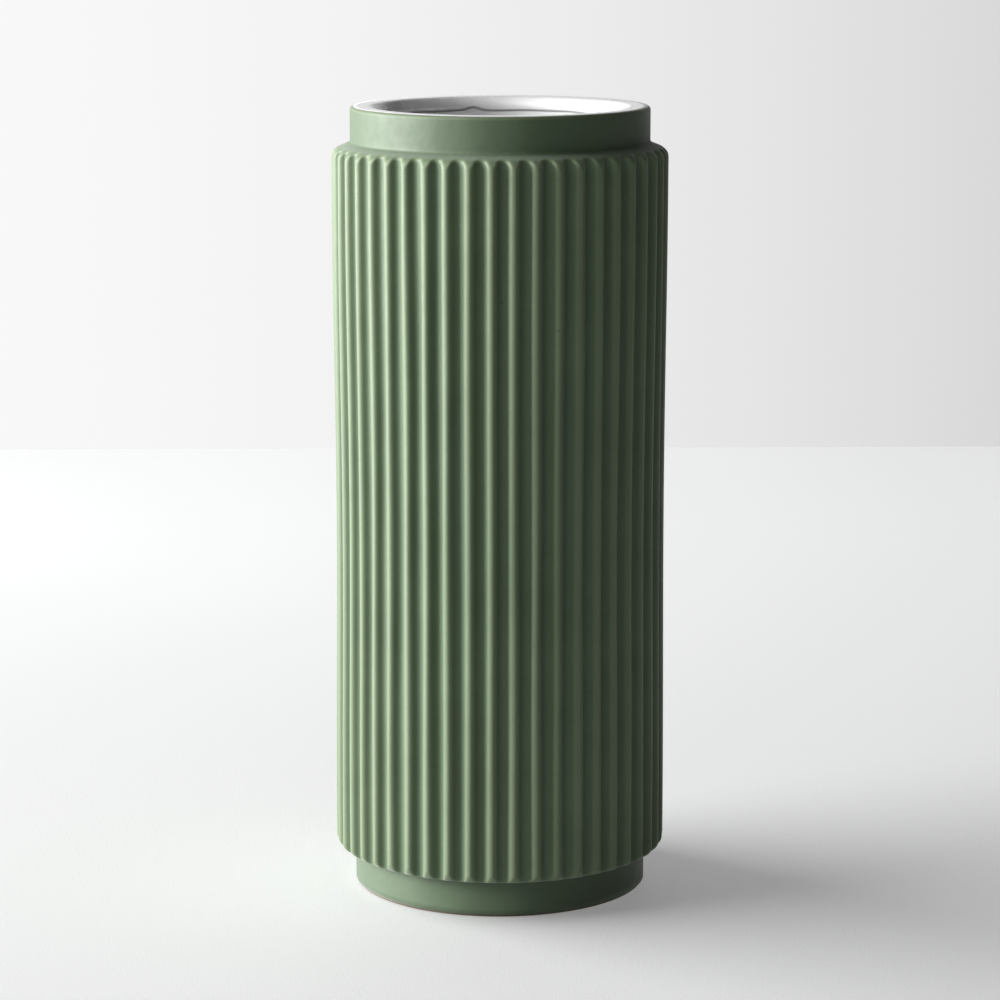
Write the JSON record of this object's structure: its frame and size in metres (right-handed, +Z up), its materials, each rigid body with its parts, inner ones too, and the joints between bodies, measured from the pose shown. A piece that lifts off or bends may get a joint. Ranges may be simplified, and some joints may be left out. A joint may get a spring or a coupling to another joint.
{
  "type": "vase",
  "caption": "Tall upright vase with a vertically fluted round body, plain neck collar and plain foot, open at the top to hold stems or branches.",
  "frame": {"origin": "centre of the flat face the vase rests on", "axes": "+Z up along the vase's axis, through the mouth; the floor of one flute faces -Y, the front"},
  "size_m": [0.1396, 0.1395, 0.33],
  "materials": {
    "stoneware": "bare fired clay, dry to the touch",
    "matte_green_glaze": "matte glaze",
    "gloss_white_glaze": "gloss glaze"
  },
  "bodies": {
    "root": {"neck_collar": "stoneware", "fluted_wall": "stoneware", "foot_ring": "stoneware", "floor_slab": "stoneware", "green_glaze": "matte_green_glaze", "white_glaze": "gloss_white_glaze"}
  },
  "joints": []
}
